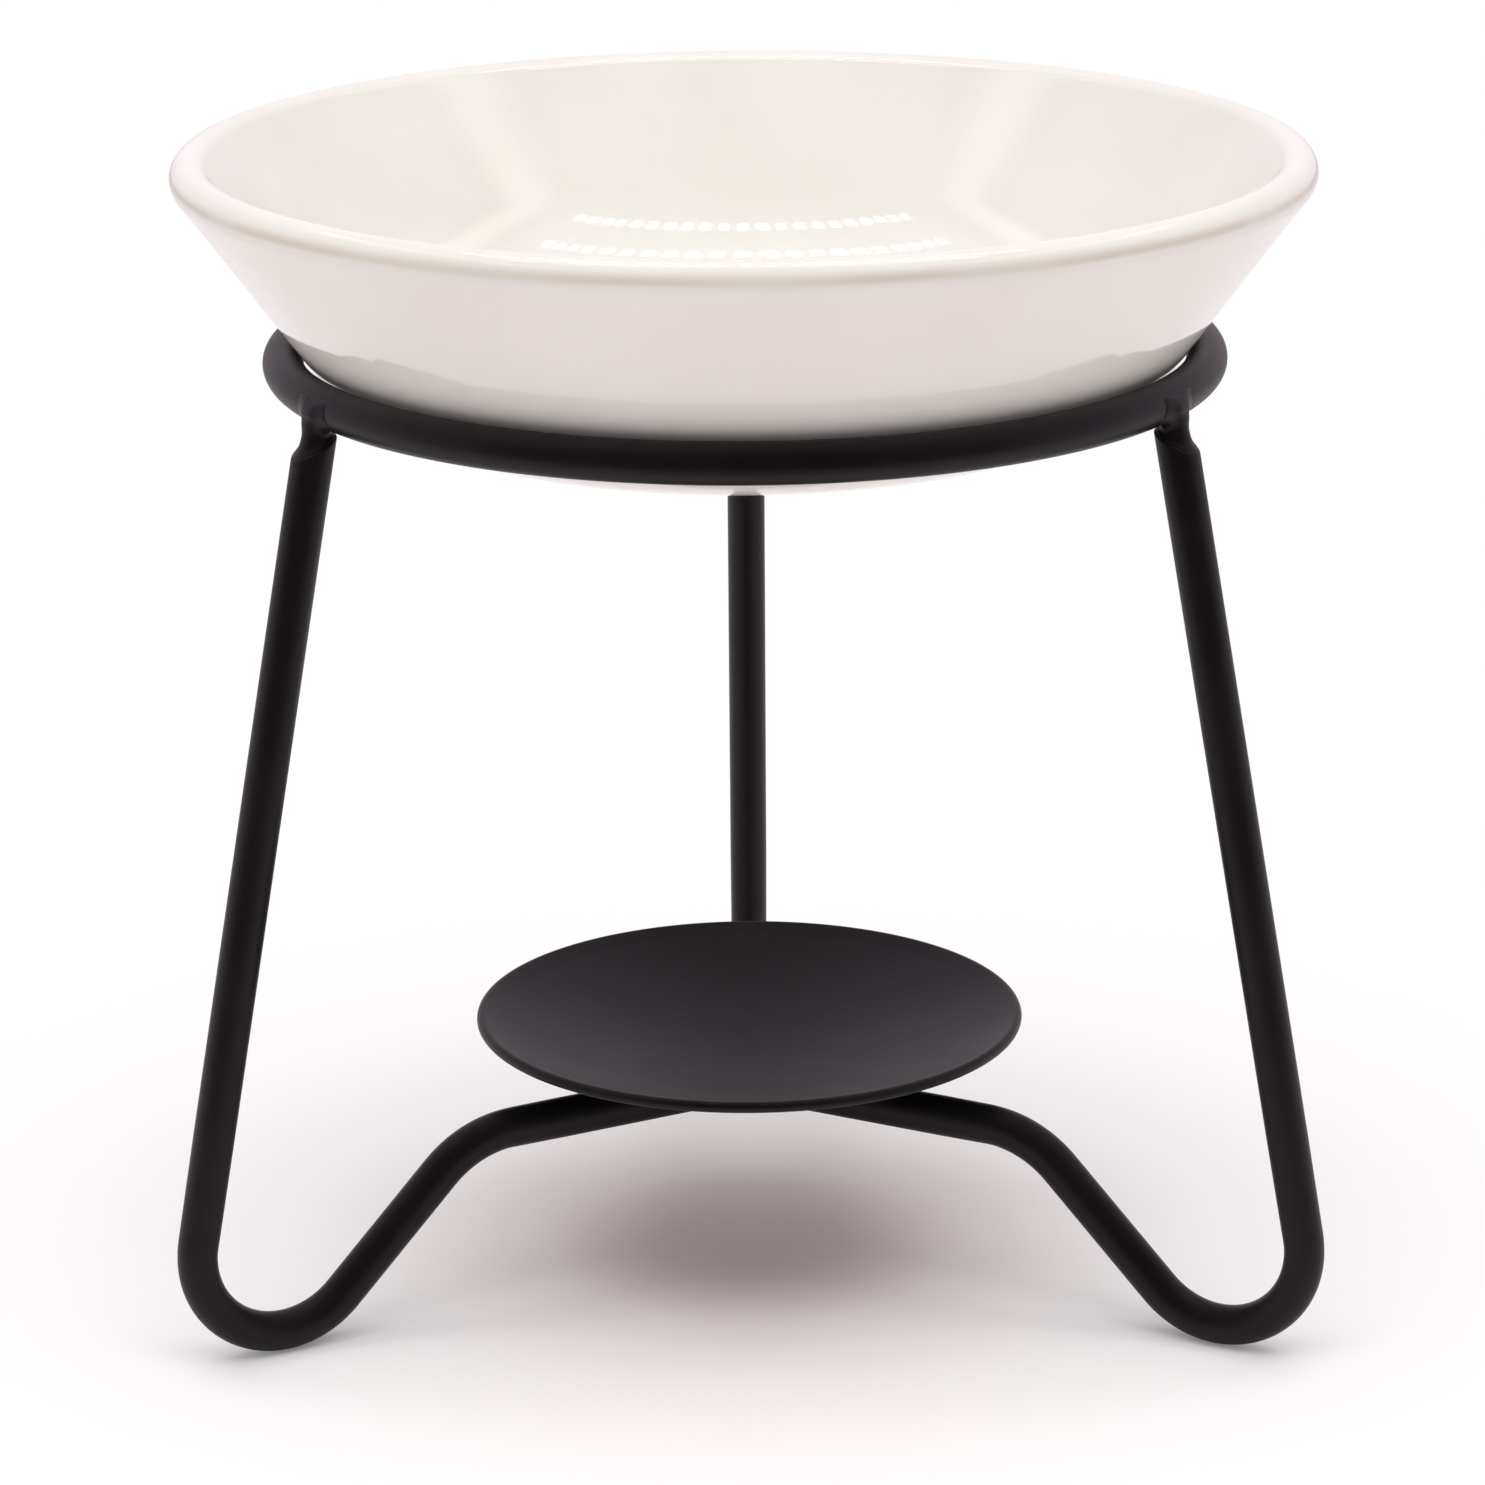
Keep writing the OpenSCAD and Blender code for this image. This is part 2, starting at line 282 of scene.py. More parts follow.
back, shrink = roll_end(EDGE_RINGS)
cap = np.array([0.3, 0.6, 0.9]) * (WIRE_R - CUT_EDGE)
tip_back = np.concatenate([np.zeros(len(cap)), back[::-1]])
tip_thick = np.concatenate([cap, WIRE_R - shrink[::-1]])
print("rolled edge of", len(tip_back), "rings,", CUT_EDGE, "mm round")

# %% [markdown]
# All three legs are bent on the same jig. The wire is carried along the whole line once, tips and
# all, and the finished leg is turned about the axis three times: one leg stands at the back, two in
# front. The tips take the place of the line's outermost points.

# %% Bend the three legs
LEG_TURNS = {"left": 210.0, "right": 330.0, "back": 90.0}
BETWEEN_TIPS = slice(2, -1)


def turn_skin(skin, degrees):
    """Turn a skin's points about the upright axis, by the sine and cosine of the angle; its faces
    stay."""
    c, s = np.cos(np.radians(degrees)), np.sin(np.radians(degrees))
    return skin[0] @ np.array([[c, s, 0], [-s, c, 0], [0, 0, 1]]), *skin[1:]


line_dir = np.gradient(leg_line, axis=0)
line_dir /= np.linalg.norm(line_dir, axis=1, keepdims=True)
top_dir, end_dir = line_dir[0], line_dir[-1]
top_tip = LEG_TOP + tip_back[:, None] * top_dir
end_tip = RUN_END - tip_back[::-1, None] * end_dir
whole_line = np.vstack([top_tip, leg_line[BETWEEN_TIPS], end_tip])
whole_dir = np.vstack([top_dir + 0 * top_tip, line_dir[BETWEEN_TIPS], end_dir + 0 * end_tip])
whole_thick = np.concatenate([tip_thick, leg_thickness[BETWEEN_TIPS], tip_thick[::-1]])
whole_slope = np.where(np.arange(len(whole_line)) < len(top_tip), END_SLOPE, 0.0)
leg_rings = carry_wire(whole_line, whole_dir, whole_thick, whole_slope)

leg_skin = skin_rings(leg_rings, [LEG_TOP[0], 0, LEG_TOP[1]], [RUN_END[0], 0, RUN_END[1]])
for side, degrees in LEG_TURNS.items():
    make_piece("bent_leg_" + side, turn_skin(leg_skin, degrees), "stand", "coat", "leg_" + side)

# %% [markdown]
# ## The welds at the ring
#
# A leg doesn't touch the ring. A weld bridges them: a neck, narrower than the wire, that spreads
# onto the leg's cut end below and runs up the outer side of the ring as a bead. Blender could blend
# two tubes into one, but then the neck's width couldn't be set. So it is a stack of rings along the
# leg's own direction, wide at the cut, narrow above it, and wider again as a bead. The lower rings
# slope as the cut does.

# %% Shape the weld necks
NECK_R, BEAD_R, BEAD_TOP = 1.3, 1.75, 5.9
NECK_FOOT, TOP_SHORT = -0.5, 0.001
CUT_SPREAD, SPREAD_FADE = 0.5, 0.4
BEAD_SWELL, SLOPE_FADE = (1.2, 2.8), (0.3, 2.6)


def ease(x, low, high):
    """A smooth step from 0 at low to 1 at high: 3t squared minus 2t cubed."""
    t = np.clip((x - low) / (high - low), 0, 1)
    return t * t * (3 - 2 * t)


def neck_rings(count, around):
    """Ring i stands at a height on the leg's line. Its radius is the neck's, plus a spread that
    fades from the cut, plus the bead's swell, and closes as a circle does at the top. The last ring
    stops a hair short of it, so that it isn't a point."""
    rise = np.linspace(0, 1, count)[:, None]
    height = NECK_FOOT + (BEAD_TOP - NECK_FOOT - TOP_SHORT) * np.sin(rise * np.pi / 2)
    angle = np.linspace(0, 2 * np.pi, around, endpoint=False)[None, :]
    spread = CUT_SPREAD * np.exp(-np.maximum(height, 0) / SPREAD_FADE)
    radius = NECK_R + spread + (BEAD_R - NECK_R) * ease(height, *BEAD_SWELL)
    radius = radius * np.sqrt(1 - np.clip((height - BEAD_TOP + BEAD_R) / BEAD_R, 0, 1) ** 2)
    slope = END_SLOPE * (1 - ease(height, *SLOPE_FADE))
    return height - slope * radius * np.cos(angle), radius + 0 * angle, angle + 0 * height


neck_grid = neck_rings(64, 64)
print("neck from", neck_grid[0].min().round(2), "to", neck_grid[0].max().round(2), "mm")

# %% [markdown]
# Molten metal runs out onto the wire that it touches. So where a point of the neck comes close to
# the ring's wire it is pushed sideways, along the ring, and the further up the bead goes, the lower
# it has to lie on the wire, until it is lost in it. A soft limit does this without a crease.

# %% Run the beads onto the ring
UP_LEG = np.array([-np.sin(np.radians(LEAN)), np.cos(np.radians(LEAN))])
OUT_LEG = np.array([np.cos(np.radians(LEAN)), np.sin(np.radians(LEAN))])
RUN_REACH, RUN_ASIDE, OUTER_SIDE = 0.9, 1.5, (-0.8, 0.2)
PROUD, SINK, SINK_FROM = 0.7, 0.9, (2.4, 5.4)
FREE, FREE_UNTIL, SOFT = 3, (0.0, 2.4), 0.12


def ring_gap(flat, aside):
    """Distance of points from the axis, and from the ring's wire: the distance to its middle line,
    less its radius."""
    from_axis = np.hypot(flat[..., 0], aside)
    return from_axis, np.hypot(from_axis - RING_R, flat[..., 1] - RING_Z) - WIRE_R


def run_onto_ring(height, radius, angle):
    """Place neck points along the leg's line. Those near the ring spread along it, by the cube of
    nearness and not on the inner side. None lies further off the ring's wire than a limit, free
    below the ring and sinking to the top; a soft minimum, by a logarithm, keeps to it."""
    flat = LEG_TOP + height[..., None] * UP_LEG + (radius * np.cos(angle))[..., None] * OUT_LEG
    aside = radius * np.sin(angle)
    near = np.clip(1 - np.maximum(ring_gap(flat, aside)[1], 0) / RUN_REACH, 0, 1) ** 3
    aside = aside + RUN_ASIDE * near * np.sin(angle) * ease(np.cos(angle), *OUTER_SIDE)
    from_axis, gap = ring_gap(flat, aside)
    most = PROUD - SINK * ease(height, *SINK_FROM) + FREE * (1 - ease(height, *FREE_UNTIL))
    lower = (WIRE_R + gap - SOFT * np.log1p(np.exp((gap - most) / SOFT))) / (WIRE_R + gap)
    reach = RING_R + (from_axis - RING_R) * lower
    return np.stack([flat[..., 0] * reach / from_axis, aside * reach / from_axis,
                     RING_Z + (flat[..., 1] - RING_Z) * lower], axis=-1)


neck = run_onto_ring(*neck_grid)
neck_skin = skin_rings(neck, neck[0].mean(0), neck[-1].mean(0))
for side, degrees in LEG_TURNS.items():
    bead_skin = turn_skin(neck_skin, degrees)
    make_piece("ring_weld_bead_" + side, bead_skin, "stand", "coat", "ring_weld_" + side)

# %% [markdown]
# ## The plate
#
# The plate for the tealight is a disc of sheet steel, pressed into a shallow dish with its edge
# rolled round. A sphere could be cut down to such a dish, but it is turned about the axis as the
# bowl is: along the underside, round the edge, and back over the top.

# %% Press the plate
DISH_MID_Z, DISH_R, RIM_ANGLE = 101.696, 81.2459, 19.3725
PLATE_HALF, PLATE_EDGE, EDGE_SWELL = 0.5, 0.55, 1.5
MIDDLE_ANGLE, EDGE_ANGLE, PLATE_AROUND = 0.4, RIM_ANGLE - 0.05, 256


def dish_arc(offset, start, stop, count):
    """Points of the dish's section, at angles from straight down, offset outwards from its middle
    sheet. The sheet swells to its edge over the last degree and a half."""
    angle = np.linspace(start, stop, count)
    swell = ease(angle, RIM_ANGLE - EDGE_SWELL, RIM_ANGLE)
    radius = DISH_R + offset + (PLATE_EDGE - PLATE_HALF) * np.sign(offset) * swell
    angle = np.radians(angle)
    return np.column_stack([radius * np.sin(angle), DISH_MID_Z - radius * np.cos(angle)])


rim_mid = dish_arc(0, RIM_ANGLE, RIM_ANGLE, 1)[0]
plate_outline = np.vstack([dish_arc(PLATE_HALF, MIDDLE_ANGLE, EDGE_ANGLE, 60),
                           arc(rim_mid, PLATE_EDGE, RIM_ANGLE - 90, RIM_ANGLE + 90, 24),
                           dish_arc(-PLATE_HALF, EDGE_ANGLE, MIDDLE_ANGLE, 60)])
dish_z = DISH_MID_Z - DISH_R
plate_skin = skin_rings(turn_outline(plate_outline, PLATE_AROUND),
                        [0, 0, dish_z - PLATE_HALF], [0, 0, dish_z + PLATE_HALF])
make_piece("tealight_plate", plate_skin, "stand", "coat", "candle_plate")

# %% [markdown]
# ## The welds under the plate
#
# Two short beads hold each leg to the plate, one on each flank of the wire. A welder lays such a
# bead in small overlapping pools, which leave ripples along it. A row of balls could stand for the
# pools, but the thickness of a straight rounded stick that rises and falls along its length gives
# the same ripples as one closed surface.

# %% Lay the beads under the plate
BEAD_IN, BEAD_OUT, BEAD_THICK = 6.5, 12.0, 1.2
BEAD_ASIDE, BEAD_ABOVE = 1.7, 1.5
POOL, RIPPLE, FLANK_SHIFT, TIP_SHARE = 1.1, 0.04, 1.5, 0.9995


def bead_rings(flank, count, around):
    """Ring i lies at a distance along the bead, and the outermost rings a hair short of its tips.
    Its radius is a rounded stick's, times a ripple of one wave per pool; the bead sits beside the
    wire and above its middle."""
    along = np.linspace(-1, 1, count)[:, None]
    half = (BEAD_OUT - BEAD_IN) / 2 + BEAD_THICK
    place = half * np.sin(along * np.pi / 2) * TIP_SHARE
    stick = np.sqrt(1 - (np.maximum(np.abs(place) - half + BEAD_THICK, 0) / BEAD_THICK) ** 2)
    wave = np.cos(2 * np.pi * place / POOL + FLANK_SHIFT * flank)
    radius = BEAD_THICK * stick * (1 - RIPPLE + RIPPLE * wave)
    angle = np.linspace(0, 2 * np.pi, around, endpoint=False)[None, :]
    from_axis = (BEAD_IN + BEAD_OUT) / 2 + place + 0 * angle
    height = RUN_END[1] + BEAD_ABOVE + np.tan(np.radians(DROOP)) * (from_axis - RUN_END[0])
    aside = flank * BEAD_ASIDE + radius * np.cos(angle)
    return np.stack([from_axis, aside, height + radius * np.sin(angle)], axis=-1)


def join_skins(first, second):
    """Two skins as one: the second's faces count on from the first's last point."""
    more = len(first[0])
    faces = [np.vstack([a, b + more]) for a, b in zip(first[1:], second[1:])]
    return np.vstack([first[0], second[0]]), *faces


one, other = bead_rings(-1, 60, 32), bead_rings(1, 60, 32)
pair_skin = join_skins(skin_rings(one, one[0].mean(0), one[-1].mean(0)),
                       skin_rings(other, other[0].mean(0), other[-1].mean(0)))
for side, degrees in LEG_TURNS.items():
    beads_skin = turn_skin(pair_skin, degrees)
    make_piece("plate_weld_beads_" + side, beads_skin, "stand", "coat", "plate_weld_" + side)

# %% [markdown]
# ## A brush for finishes
#
# A finish in Blender is a graph of nodes. Wiring nodes one by one hides the sum that they do, so a
# small class wraps one socket and lets Python's own signs add the nodes: a mask times a colour
# share reads as it would on paper. Every node comes from one method, and a few more methods name
# the nodes that are used often.

# %% Make the brush
class Dab:
    """One socket of a finish. The signs +, - and * each add a Math node, also with a number
    first."""

    def __init__(self, tree, socket=None):
        self.tree = tree
        self.socket = socket

    def node(self, kind, settings, sockets, out=0):
        """Add a node of a kind: its settings first, then a number or a link for each of its
        sockets."""
        made = self.tree.nodes.new(kind)
        for name, value in settings.items():
            setattr(made, name, value)
        for name, value in sockets.items():
            if isinstance(value, Dab):
                self.tree.links.new(value.socket, made.inputs[name])
            else:
                made.inputs[name].default_value = value
        return Dab(self.tree, made.outputs[out])

    def sum(self, how, first, second):
        """Add one Math node that works out its two terms in the way asked for."""
        return self.node("ShaderNodeMath", {"operation": how}, {0: first, 1: second})

    def __add__(self, other):
        return self.sum("ADD", self, other)

    def __radd__(self, other):
        return self.sum("ADD", other, self)

    def __sub__(self, other):
        return self.sum("SUBTRACT", self, other)

    def __rsub__(self, other):
        return self.sum("SUBTRACT", other, self)

    def __mul__(self, other):
        return self.sum("MULTIPLY", self, other)

    def __rmul__(self, other):
        return self.sum("MULTIPLY", other, self)

    def vector(self, how, other, out="Value"):
        """Add one Vector Math node that works on this vector and another one."""
        return self.node("ShaderNodeVectorMath", {"operation": how}, {0: self, 1: other}, out)

    def part(self, axis):
        """The X, Y or Z of this vector."""
        return self.node("ShaderNodeSeparateXYZ", {}, {"Vector": self}, out=axis)

    def ray(self, kind):
        """1 for one kind of ray, such as the camera's own, and 0 for all others."""
        return self.node("ShaderNodeLightPath", {}, {}, out=kind)

    def step(self, low, high):
        """A mask that goes smoothly from 0 at low to 1 at high."""
        return self.node("ShaderNodeMapRange", {"interpolation_type": "SMOOTHSTEP"},
                         {"Value": self, "From Min": low, "From Max": high})

    def tint(self, under, over):
        """The colour under where this mask is 0, and the colour over where it is 1."""
        return self.node("ShaderNodeMix", {"data_type": "RGBA"},
                         {0: self, 6: under, 7: over}, out=2)

    def noise(self, size, detail):
        """Cloudy noise over this place, in blotches of about a size in metres."""
        return self.node("ShaderNodeTexNoise", {},
                         {"Vector": self, "Scale": 1 / size, "Detail": detail})

    def specks(self, per_metre, edge, share):
        """Dots in the middles of random cells. A dot fades out over its edge, in cells, and a cell
        keeps its dot if its own random number lies above the share."""
        cells = {"Vector": self, "Scale": per_metre}
        away = self.node("ShaderNodeTexVoronoi", {}, cells, out="Distance")
        chance = self.node("ShaderNodeTexVoronoi", {}, cells, out="Color")
        chance = chance.node("ShaderNodeSeparateColor", {}, {"Color": chance})
        return (1 - away.step(*edge)) * chance.step(*share)

    def bump(self, strength, depth):
        """A Normal that leans as if this height, times the depth, stood on the surface."""
        return self.node("ShaderNodeBump", {},
                         {"Height": self, "Strength": strength, "Distance": depth})


print("the brush turns +, - and * into Math nodes")

# %% [markdown]
# Each finish starts the same way: an empty material with one shader, its output and the place of
# each point on the object. The place comes from Object coordinates, so a speck stays on its spot of
# wire when the camera moves. What is the same all over is set on the shader's own sockets, and only
# what changes over the surface is linked to it.

# %% Start a finish
def start_finish(name, **constants):
    """A new material with one Principled shader, whose constant values are set on its own
    sockets."""
    finish = bpy.data.materials.new(name)
    finish.use_nodes = True
    tree = finish.node_tree
    tree.nodes.clear()
    shader = tree.nodes.new("ShaderNodeBsdfPrincipled")
    output = tree.nodes.new("ShaderNodeOutputMaterial")
    tree.links.new(shader.outputs[0], output.inputs["Surface"])
    for socket, value in constants.items():
        shader.inputs[socket.replace("_", " ")].default_value = value
    place = Dab(tree).node("ShaderNodeTexCoord", {}, {}, out="Object")
    return finish, shader, place


def feed(shader, **sockets):
    """Link what changes over the surface to the shader's sockets."""
    for socket, dab in sockets.items():
        dab.tree.links.new(dab.socket, shader.inputs[socket.replace("_", " ")])


print("finishes read Object coordinates")

# %% [markdown]
# ## Black powder coat
#
# The stand is sprayed with dry black powder that melts in an oven into a satin skin. It isn't
# smooth: the melted grains leave a fine orange peel, some patches are a little duller, and a few
# specks of dust sit on it. Three noises of different sizes and a scatter of dots give these, and
# none of them is strong.

# %% Mix the powder coat
BLACK, DULL_BLACK = (0.0042, 0.0037, 0.0042, 1), (0.0064, 0.0056, 0.0064, 1)
DUST_GREY = (0.22, 0.21, 0.21, 1)
PEEL_SIZE, GRAIN_SIZE, PATCH_SIZE = 0.0007, 0.00022, 0.011

coat, coat_shader, place = start_finish("satin_black_coat", IOR=1.5, Specular_IOR_Level=0.22,
                                        Specular_Tint=(1.0, 0.87, 0.98, 1))
peel = place.noise(PEEL_SIZE, 2.0)
grain = place.noise(GRAIN_SIZE, 1.0)
patch = place.noise(PATCH_SIZE, 3.0)
dust = place.specks(170.0, (0.012, 0.026), (0.72, 0.74))
colour = (dust * 0.8).tint(patch.step(0.3, 0.7).tint(BLACK, DULL_BLACK), DUST_GREY)
dullness = 0.35 + 0.12 * patch + 0.05 * grain + 0.2 * dust
bump = (peel * 0.75 + grain * 0.25).bump(0.35, 0.00006)
feed(coat_shader, Base_Color=colour, Roughness=dullness, Normal=bump)
print("powder coat:", len(coat.node_tree.nodes), "nodes")

# %% [markdown]
# ## White glaze
#
# The bowl is dipped in a warm white glaze that fires to a glossy glass. A fine line round the outer
# edge of the lip is coloured a darker, warmer buff. The foot is wiped clean before firing, so that
# the bowl doesn't stick to the kiln shelf: there the matt body shows. These zones could be painted
# by hand, but height and distance from the axis, both read from the place, tell them apart, and a
# fine noise makes their borders a little ragged.

# %% Find the zones of the bowl
POOL_SIZE, SWIM_SIZE, FINE_SIZE, RAGGED = 0.016, 0.007, 0.0012, 0.0006


def border(middle, low, high):
    """The two ends of a soft border in metres, from millimetres counted from a middle."""
    return (middle + low) * MM, (middle + high) * MM


glaze, glaze_shader, place = start_finish("warm_white_glaze", IOR=1.5)
pool = place.noise(POOL_SIZE, 2.0)
swim = place.noise(SWIM_SIZE, 1.0)
fine = place.noise(FINE_SIZE, 1.0)
above = place.part("Z")
aside = place.vector("MULTIPLY", (1, 1, 0), out="Vector").vector("DISTANCE", (0, 0, 0))
aside = aside + RAGGED * (fine - 0.5)

low = 1 - above.step(*border(FOOT_Z, 0.1, 0.3))
within_foot = 1 - aside.step(*border(FOOT_R, -0.2, 0.2))
bare = low * within_foot * aside.step(*border(RECESS_R, -0.2, 0.0))

lip_out, lip_up = LIP_MID
# A darker, warmer buff line round the outer edge of the lip, stronger in some places than others.
lip_line = above.step(*border(lip_up, -0.4, 0.2)) * (1 - above.step(*border(lip_up, 0.3, 1.1)))
lip_line = lip_line * aside.step(*border(lip_out, 0.2, 1.0)) * (0.55 + 0.45 * pool.step(0.4, 0.6))
print("zones of the bowl:", len(glaze.node_tree.nodes), "nodes")

# %% [markdown]
# The glaze itself lies a little thicker in some places than in others, which moves the shine and
# the tone slightly, and it holds a few tiny pinholes. Slow noises and a scatter of dots give
# these, and the zones are laid over them.

# %% Mix the glaze
CREAM, PALE_CREAM = (0.742, 0.706, 0.668, 1), (0.766, 0.731, 0.694, 1)
LIP_LINE_BUFF, BARE_BUFF = (0.64, 0.575, 0.50, 1), (0.70, 0.63, 0.53, 1)
PINHOLE_BROWN = (0.36, 0.30, 0.24, 1)

pinhole = place.specks(95.0, (0.008, 0.016), (0.8, 0.82))
white = pool.step(0.3, 0.7).tint(CREAM, PALE_CREAM)
white = (pinhole * 0.5).tint(white, PINHOLE_BROWN)
white = lip_line.tint(white, LIP_LINE_BUFF)
colour = bare.tint(white, BARE_BUFF)
dullness = 0.03 + 0.05 * pool + 0.6 * bare
bump = (swim * 0.8 + fine * 0.04 - pinhole * 0.2).bump(0.25, 0.00012)
feed(glaze_shader, Base_Color=colour, Roughness=dullness, Normal=bump)
print("glaze:", len(glaze.node_tree.nodes), "nodes")

# %% [markdown]
# The bowl takes the glaze, and every piece of the stand takes the coat, because the stand was
# welded first and sprayed as one.

# %% Put the finishes on
for slot, finish in {"glaze": glaze, "coat": coat}.items():
    for piece in dressed[slot]:
        piece.data.materials.append(finish)
    print(finish.name, "on", [piece.name for piece in dressed[slot]])

# %% [markdown]
# ## Floor
#
# The burner stands on a white sheet of paper without an edge that shows. A single large face would
# do for that, but a square net of points is as easily worked out.

# %% Lay the floor
FLOOR_REACH, FLOOR_COUNT = 1500.0, 31


def floor_points(reach, count):
    """Point (i, j) of a flat square net of points, from minus reach to reach both ways."""
    line = np.linspace(-reach, reach, count)
    x, y = np.meshgrid(line, line, indexing="xy")
    return np.stack([x, y, 0 * x], axis=-1)


net = np.arange(FLOOR_COUNT * FLOOR_COUNT).reshape(FLOOR_COUNT, FLOOR_COUNT)
squares = np.stack([net[:-1, :-1], net[:-1, 1:], net[1:, 1:], net[1:, :-1]], axis=-1)
points = floor_points(FLOOR_REACH, FLOOR_COUNT).reshape(-1, 3) * MM
floor_mesh = bpy.data.meshes.new("pale_floor")
floor_mesh.from_pydata(points.tolist(), [], squares.reshape(-1, 4).tolist())
floor = bpy.data.objects.new("pale_floor", floor_mesh)
bpy.context.scene.collection.objects.link(floor)
print("floor", 2 * FLOOR_REACH * MM, "m wide")

# %% [markdown]
# Close by, the sheet is matt paper that keeps the shadow. Under the plate its colour is a painted
# shade: a darker, warmer pink for the tint of the shadow there. For the camera a white glow is
# mixed in, starting just in front of the plate and growing outwards. It paints light into the
# shadow near the burner, and further out it is plain white, so that no horizon shows. Reflections
# get one more thing to see: a dark card in front of the burner, which keeps the lower side of the
# wires black.

# %% Finish the floor
WHITE = (1, 1, 1, 1)
PAPER, PALE_PAPER = (0.985, 0.935, 0.945, 1), (1.0, 0.95, 0.96, 1)
PAINTED_SHADE_PAPER = (0.985, 0.80, 0.79, 1)
PAINTED_SHADE_MID, PAINTED_SHADE_REACH = (0, 0.005, 0), 0.045
FADE_MID, FADE_REACH = (0, -0.02, 0), 0.19
CARD_BLACK, CARD_EDGE = (0.02, 0.02, 0.02, 1), (-0.26, -0.07)

paper, paper_shader, place = start_finish("pale_paper", Roughness=0.9, IOR=1.3)
tooth = place.noise(0.0009, 2.0).tint(PAPER, PALE_PAPER)
# Painted shade: towards the spot under the plate the paper's colour turns a darker pink, for the
# warm tint of the shadow there.
beside = place.vector("DISTANCE", PAINTED_SHADE_MID).step(0.0, PAINTED_SHADE_REACH)
feed(paper_shader, Base_Color=beside.tint(PAINTED_SHADE_PAPER, tooth))
matt = Dab(paper.node_tree, paper_shader.outputs[0])
glow = place.node("ShaderNodeEmission", {}, {"Color": WHITE, "Strength": 1.0})
card = place.node("ShaderNodeBsdfDiffuse", {}, {"Color": CARD_BLACK})
# Painted light: for camera rays a white glow is mixed into the paper, growing outwards from just in
# front of the plate, so the shadow near the burner is lightened and the sheet ends in plain white.
far = place.vector("DISTANCE", FADE_MID).step(0.0, FADE_REACH) * place.ray("Is Camera Ray")
in_front = place.ray("Is Glossy Ray") * (1 - place.part("Y").step(*CARD_EDGE))
sheet = place.node("ShaderNodeMixShader", {}, {0: far, 1: matt, 2: glow})
sheet = place.node("ShaderNodeMixShader", {}, {0: in_front, 1: sheet, 2: card})
paper_output = paper.node_tree.nodes["Material Output"]
paper.node_tree.links.new(sheet.socket, paper_output.inputs["Surface"])
floor_mesh.materials.append(paper)
print("paper:", len(paper.node_tree.nodes), "nodes")

# %% [markdown]
# ## Light
#
# The burner stands in a white light tent: pale light from all sides, and less from the front, where
# the lens looks in through an opening. That opening is why every wire has a dark middle and paler
# edges. The world gives the tent. In a reflection its brightness depends on the direction that the
# ray leaves in, and its cloth is slightly pink; matt surfaces get one even level, and the camera
# sees plain white.

# %% Light the tent
OPENING_WAY, OPENING_EDGE, OPENING_DARK = (0.0, -0.97, 0.24), (0.0, 0.8), 0.95
WALL_LEVEL, LOW_WALL_MORE, LOW_WALL_EDGE = 0.6, 0.35, (0.1, 0.7)
EVEN_LEVEL, CLOTH_PINK = 0.55, (1.0, 0.88, 0.97, 1)

world = bpy.data.worlds.new("light_tent")
bpy.context.scene.world = world
world.use_nodes = True
world.node_tree.nodes.clear()
tent = Dab(world.node_tree)
direction = tent.node("ShaderNodeTexCoord", {}, {}, out="Generated")
opening = direction.vector("DOT_PRODUCT", OPENING_WAY).step(*OPENING_EDGE)
low_wall = 1 - direction.part("Z").step(*LOW_WALL_EDGE)
walls = (WALL_LEVEL + LOW_WALL_MORE * low_wall) * (1 - OPENING_DARK * opening)
lens, shine = tent.ray("Is Camera Ray"), tent.ray("Is Glossy Ray")
seen = shine * walls + (1 - shine) * EVEN_LEVEL
light = tent.node("ShaderNodeBackground", {}, {"Color": shine.tint(WHITE, CLOTH_PINK),
                                               "Strength": lens + (1 - lens) * seen})
output = world.node_tree.nodes.new("ShaderNodeOutputWorld")
world.node_tree.links.new(light.socket, output.inputs["Surface"])
print("light tent:", len(world.node_tree.nodes), "nodes")

# %% [markdown]
# More light comes through the roof, from one wide soft lamp. It hangs a little towards the front,
# so that the floor of the hollow doesn't burn out, and reflections don't see it, because its plain
# rectangle would lie across the glaze.

# %% Hang the roof lamp
ROOF_SIZE, ROOF_PLACE, ROOF_WATTS = (1.2, 0.9), (0.0, -0.18, 0.8), 6.9

roof = bpy.data.objects.new("roof_lamp", bpy.data.lights.new("roof_lamp", "AREA"))
roof.data.shape = "RECTANGLE"
roof.data.size, roof.data.size_y = ROOF_SIZE
roof.data.energy = ROOF_WATTS
roof.location = ROOF_PLACE
roof.visible_glossy = False
bpy.context.scene.collection.objects.link(roof)
bpy.context.scene.view_settings.view_transform = "Standard"
print("roof lamp:", round(roof.data.energy, 2), "W")

# %% [markdown]
# What the glaze mirrors instead are two strips of small lamps that run across the tent's roof, from
# side to side, and its cloth, which glows softly along both sides. They add next to no light, but
# the strips show as two rows of bright dots near the bottom of the bowl, and the cloth as a soft
# band up each side of its wall. That tells the eye how glossy and how round the hollow is. All of
# it is one flat mesh of small four-cornered sheets that only reflections can see.

# %% Hang the strips and the cloth
STRIP_AHEAD, STRIP_UP, STRIP_COUNT, STRIP_GAP = (-12.0, 95.0), 455.0, 21, 16.7
LAMP_SIZE, CLOTH_SIZE = (8.0, 22.0), (120.0, 500.0)
CLOTH_ASIDE, CLOTH_AHEAD = 275.0, 20.0


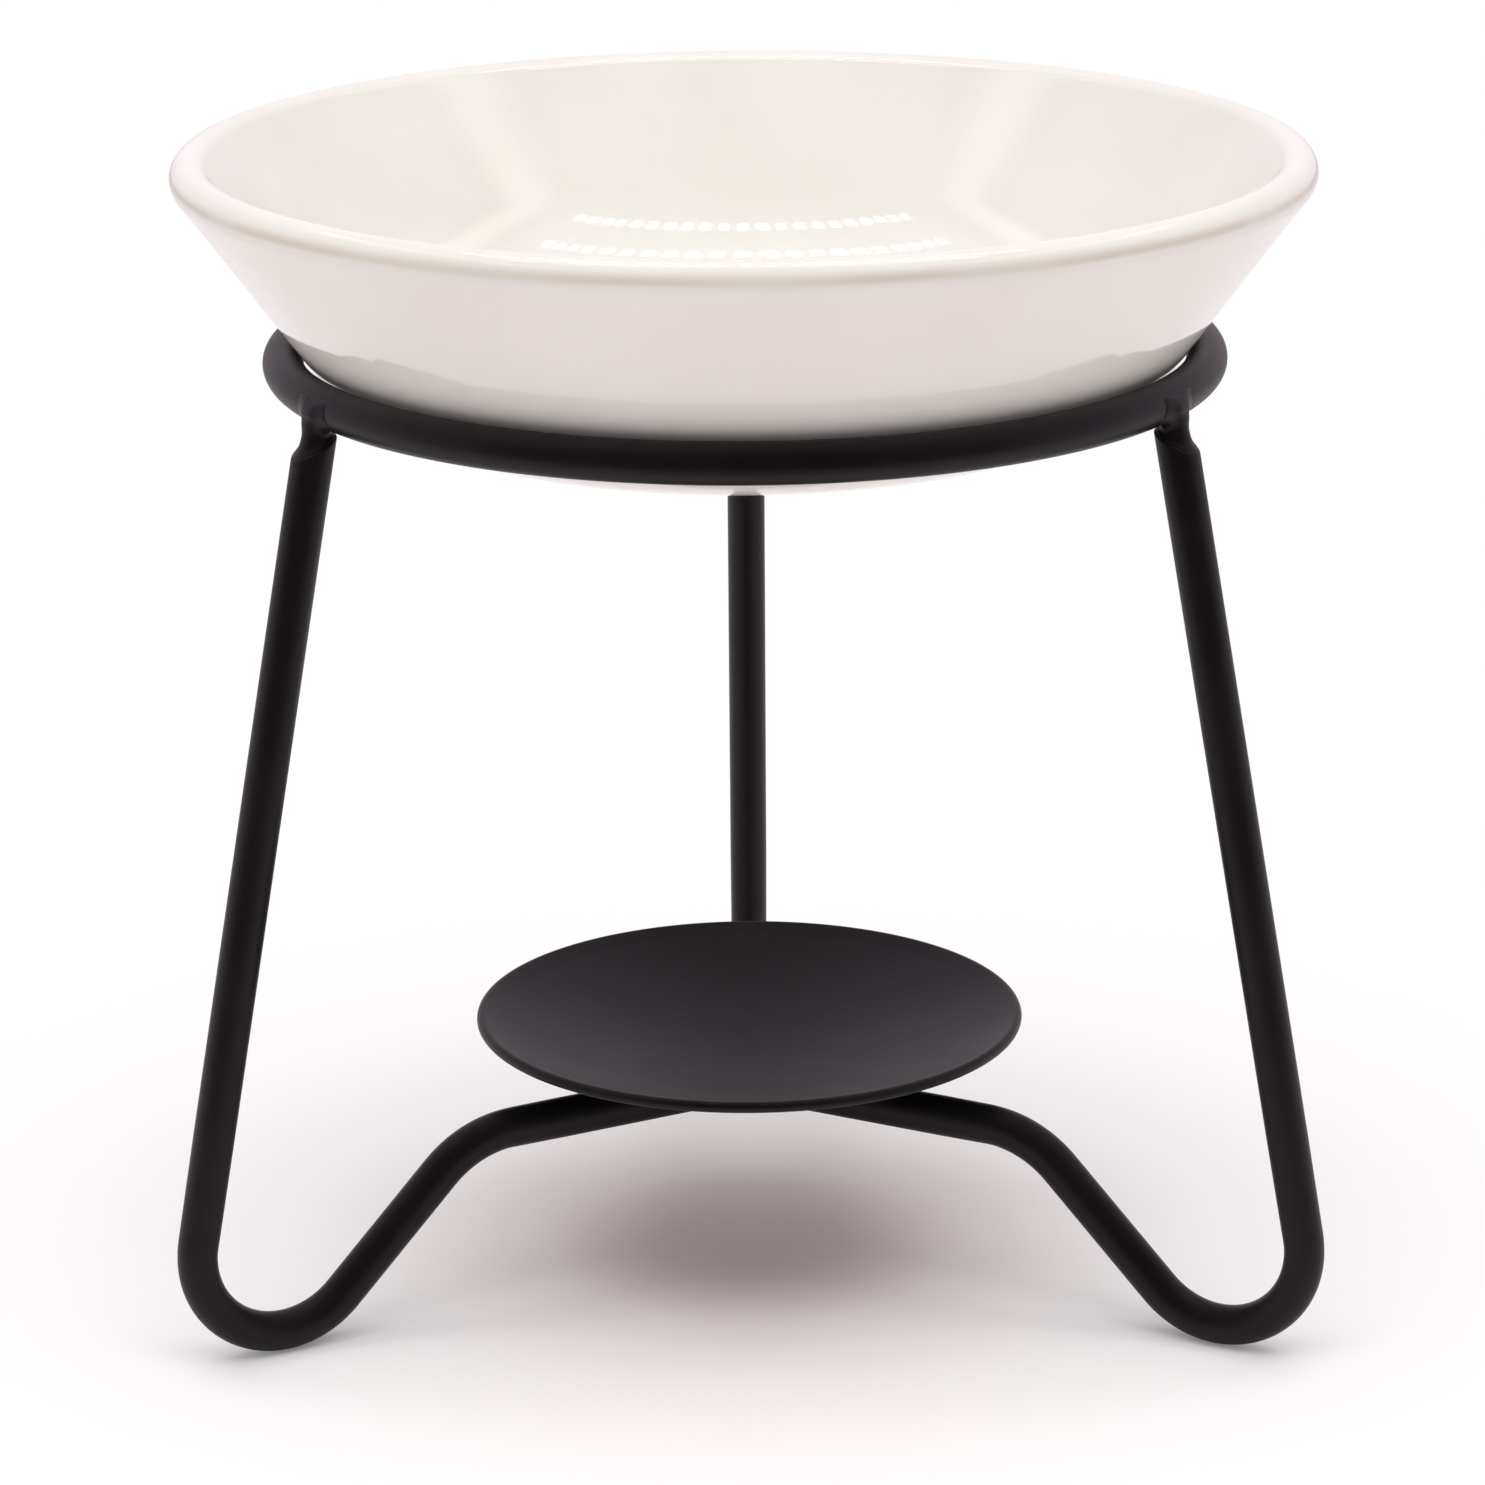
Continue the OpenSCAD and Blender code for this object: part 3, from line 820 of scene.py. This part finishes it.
def sheet_corners(middles, size):
    """Point (i, j): sheet i lies flat round its middle, and j picks one of its four corners, half a
    size away."""
    corner = np.array([[-1, -1], [-1, 1], [1, 1], [1, -1]]) * np.array(size) / 2
    flat = np.array(middles)[:, None, :] + corner
    return np.concatenate([flat, np.full((*flat.shape[:2], 1), STRIP_UP)], axis=-1).reshape(-1, 3)


row = STRIP_GAP * (np.arange(STRIP_COUNT) - (STRIP_COUNT - 1) / 2)
lamps = np.vstack([np.column_stack([row, np.full(STRIP_COUNT, ahead)]) for ahead in STRIP_AHEAD])
cloths = [[-CLOTH_ASIDE, CLOTH_AHEAD], [CLOTH_ASIDE, CLOTH_AHEAD]]
corners = np.vstack([sheet_corners(lamps, LAMP_SIZE), sheet_corners(cloths, CLOTH_SIZE)])
sheets = np.arange(len(corners)).reshape(-1, 4)
glow_mesh = bpy.data.meshes.new("roof_glow")
glow_mesh.from_pydata((corners * MM).tolist(), [], sheets.tolist())
roof_glow = bpy.data.objects.new("roof_glow", glow_mesh)
roof_glow.visible_camera = roof_glow.visible_diffuse = roof_glow.visible_shadow = False
bpy.context.scene.collection.objects.link(roof_glow)
print(len(lamps), "small lamps and", len(cloths), "sheets of cloth")

# %% [markdown]
# How brightly a sheet glows depends on its distance to the side: the small lamps are bright, and
# the cloth is faint and fades towards both its long edges.

# %% Make them glow
LAMP_GLOW, LAMPS_END, CLOTH_GLOW = 14, (0.19, 0.2), 1.9
CLOTH_HALF = CLOTH_SIZE[0] / 2

spark = bpy.data.materials.new("roof_glow")
spark.use_nodes = True
spark.node_tree.nodes.clear()
place = Dab(spark.node_tree).node("ShaderNodeTexCoord", {}, {}, out="Object")
aside = place.node("ShaderNodeMath", {"operation": "ABSOLUTE"}, {0: place.part("X")})
cloth = (aside.step(*border(CLOTH_ASIDE, -CLOTH_HALF, 0))
         * (1 - aside.step(*border(CLOTH_ASIDE, 0, CLOTH_HALF))))
strength = LAMP_GLOW * (1 - aside.step(*LAMPS_END)) + CLOTH_GLOW * cloth
glow = place.node("ShaderNodeEmission", {}, {"Color": (1.0, 0.98, 0.94, 1), "Strength": strength})
output = spark.node_tree.nodes.new("ShaderNodeOutputMaterial")
spark.node_tree.links.new(glow.socket, output.inputs["Surface"])
glow_mesh.materials.append(spark)
print("glow:", len(spark.node_tree.nodes), "nodes")
